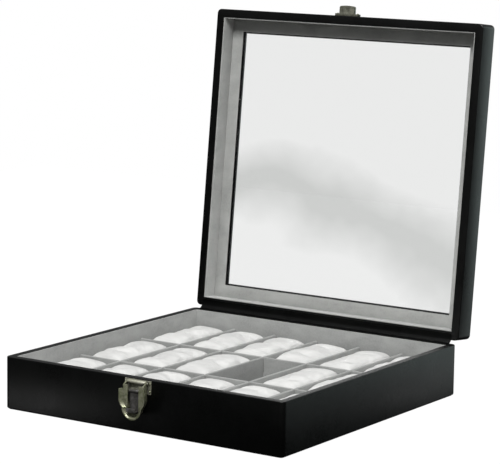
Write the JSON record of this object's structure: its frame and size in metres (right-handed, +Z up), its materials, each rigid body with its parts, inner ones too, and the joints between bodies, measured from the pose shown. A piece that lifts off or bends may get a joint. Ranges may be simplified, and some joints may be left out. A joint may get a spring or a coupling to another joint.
{
  "type": "watch box",
  "caption": "Square leather-covered watch box with a hinged glass lid, a grid of suede compartments with lift-out cushions, and a front toggle clasp.",
  "frame": {"origin": "centre of the underside of the base", "axes": "+X to the right seen from the front, +Y to the hinge side, +Z up; stored with the lid open"},
  "size_m": [0.33, 0.4036, 0.3922],
  "materials": {
    "case_leather": "fine-grained black artificial leather, satin",
    "lining_suede": "light grey suede on card, short nap",
    "cushion_velvet": "pale grey velvet, soft nap",
    "wall_board": "medium-density fibreboard, hidden",
    "window_glass": "clear float glass",
    "aged_nickel": "aged nickel plate, darkened in the recesses",
    "hinge_steel": "zinc-plated steel",
    "underside_felt": "black felt"
  },
  "bodies": {
    "base": {"base_felt": "underside_felt", "base_floor_board": "wall_board", "base_floor_lining": "lining_suede", "base_leather": "case_leather", "base_wall_back": "wall_board", "base_wall_front": "wall_board", "base_wall_left": "wall_board", "base_wall_lining": "lining_suede", "base_wall_right": "wall_board", "clasp_lever_pin": "aged_nickel", "clasp_nails": "aged_nickel", "clasp_plate": "aged_nickel", "column_divider_1": "lining_suede", "column_divider_2": "lining_suede", "column_divider_3": "lining_suede", "column_divider_4": "lining_suede", "column_divider_5": "lining_suede", "hinge_base_screws": "hinge_steel", "hinge_left_base_leaf": "hinge_steel", "hinge_pins": "hinge_steel", "hinge_right_base_leaf": "hinge_steel", "hinge_strip_base_half": "case_leather", "row_divider_1": "lining_suede", "row_divider_2": "lining_suede"},
    "lid": {"catch_nails": "aged_nickel", "catch_plate": "aged_nickel", "lid_glass": "window_glass", "lid_inner_frame": "lining_suede", "lid_leather": "case_leather", "lid_wall_back": "wall_board", "lid_wall_front": "wall_board", "lid_wall_left": "wall_board", "lid_wall_lining": "lining_suede", "lid_wall_right": "wall_board", "lid_window_frame": "wall_board", "hinge_left_lid_leaf": "hinge_steel", "hinge_right_lid_leaf": "hinge_steel", "hinge_lid_screws": "hinge_steel", "hinge_strip_lid_half": "case_leather"},
    "clasp_lever": {"clasp_lever": "aged_nickel", "clasp_tongue_pin": "aged_nickel"},
    "clasp_tongue": {"clasp_tongue": "aged_nickel"},
    "cushion_row1_col1": {"cushion_row1_col1": "cushion_velvet"},
    "cushion_row1_col2": {"cushion_row1_col2": "cushion_velvet"},
    "cushion_row1_col3": {"cushion_row1_col3": "cushion_velvet"},
    "cushion_row1_col4": {"cushion_row1_col4": "cushion_velvet"},
    "cushion_row1_col5": {"cushion_row1_col5": "cushion_velvet"},
    "cushion_row1_col6": {"cushion_row1_col6": "cushion_velvet"},
    "cushion_row2_col1": {"cushion_row2_col1": "cushion_velvet"},
    "cushion_row2_col2": {"cushion_row2_col2": "cushion_velvet"},
    "cushion_row2_col3": {"cushion_row2_col3": "cushion_velvet"},
    "cushion_row2_col5": {"cushion_row2_col5": "cushion_velvet"},
    "cushion_row2_col6": {"cushion_row2_col6": "cushion_velvet"},
    "cushion_row3_col1": {"cushion_row3_col1": "cushion_velvet"},
    "cushion_row3_col2": {"cushion_row3_col2": "cushion_velvet"},
    "cushion_row3_col3": {"cushion_row3_col3": "cushion_velvet"},
    "cushion_row3_col4": {"cushion_row3_col4": "cushion_velvet"},
    "cushion_row3_col5": {"cushion_row3_col5": "cushion_velvet"},
    "cushion_row3_col6": {"cushion_row3_col6": "cushion_velvet"}
  },
  "joints": [
    {"name": "lid_hinge", "type": "hinge", "parent": "base", "child": "lid", "pos_m": [0, 0.1657, 0.0541], "axis": [-1, 0, 0], "range_deg": [-96.1, 0]},
    {"name": "clasp_lever_pivot", "type": "hinge", "parent": "base", "child": "clasp_lever", "pos_m": [0, -0.1664, 0.0503], "axis": [-1, 0, 0], "range_deg": [0, 130]},
    {"name": "clasp_tongue_pivot", "type": "hinge", "parent": "clasp_lever", "child": "clasp_tongue", "pos_m": [0, -0.1703, 0.0423], "axis": [1, 0, 0], "range_deg": [-158.5, 0]},
    {"name": "cushion_row1_col1_lift", "type": "slide", "parent": "base", "child": "cushion_row1_col1", "axis": [0, 0, 1], "range_m": [0, 0.06]},
    {"name": "cushion_row1_col2_lift", "type": "slide", "parent": "base", "child": "cushion_row1_col2", "axis": [0, 0, 1], "range_m": [0, 0.06]},
    {"name": "cushion_row1_col3_lift", "type": "slide", "parent": "base", "child": "cushion_row1_col3", "axis": [0, 0, 1], "range_m": [0, 0.06]},
    {"name": "cushion_row1_col4_lift", "type": "slide", "parent": "base", "child": "cushion_row1_col4", "axis": [0, 0, 1], "range_m": [0, 0.06]},
    {"name": "cushion_row1_col5_lift", "type": "slide", "parent": "base", "child": "cushion_row1_col5", "axis": [0, 0, 1], "range_m": [0, 0.06]},
    {"name": "cushion_row1_col6_lift", "type": "slide", "parent": "base", "child": "cushion_row1_col6", "axis": [0, 0, 1], "range_m": [0, 0.06]},
    {"name": "cushion_row2_col1_lift", "type": "slide", "parent": "base", "child": "cushion_row2_col1", "axis": [0, 0, 1], "range_m": [0, 0.06]},
    {"name": "cushion_row2_col2_lift", "type": "slide", "parent": "base", "child": "cushion_row2_col2", "axis": [0, 0, 1], "range_m": [0, 0.06]},
    {"name": "cushion_row2_col3_lift", "type": "slide", "parent": "base", "child": "cushion_row2_col3", "axis": [0, 0, 1], "range_m": [0, 0.06]},
    {"name": "cushion_row2_col5_lift", "type": "slide", "parent": "base", "child": "cushion_row2_col5", "axis": [0, 0, 1], "range_m": [0, 0.06]},
    {"name": "cushion_row2_col6_lift", "type": "slide", "parent": "base", "child": "cushion_row2_col6", "axis": [0, 0, 1], "range_m": [0, 0.06]},
    {"name": "cushion_row3_col1_lift", "type": "slide", "parent": "base", "child": "cushion_row3_col1", "axis": [0, 0, 1], "range_m": [0, 0.06]},
    {"name": "cushion_row3_col2_lift", "type": "slide", "parent": "base", "child": "cushion_row3_col2", "axis": [0, 0, 1], "range_m": [0, 0.06]},
    {"name": "cushion_row3_col3_lift", "type": "slide", "parent": "base", "child": "cushion_row3_col3", "axis": [0, 0, 1], "range_m": [0, 0.06]},
    {"name": "cushion_row3_col4_lift", "type": "slide", "parent": "base", "child": "cushion_row3_col4", "axis": [0, 0, 1], "range_m": [0, 0.06]},
    {"name": "cushion_row3_col5_lift", "type": "slide", "parent": "base", "child": "cushion_row3_col5", "axis": [0, 0, 1], "range_m": [0, 0.06]},
    {"name": "cushion_row3_col6_lift", "type": "slide", "parent": "base", "child": "cushion_row3_col6", "axis": [0, 0, 1], "range_m": [0, 0.06]}
  ]
}
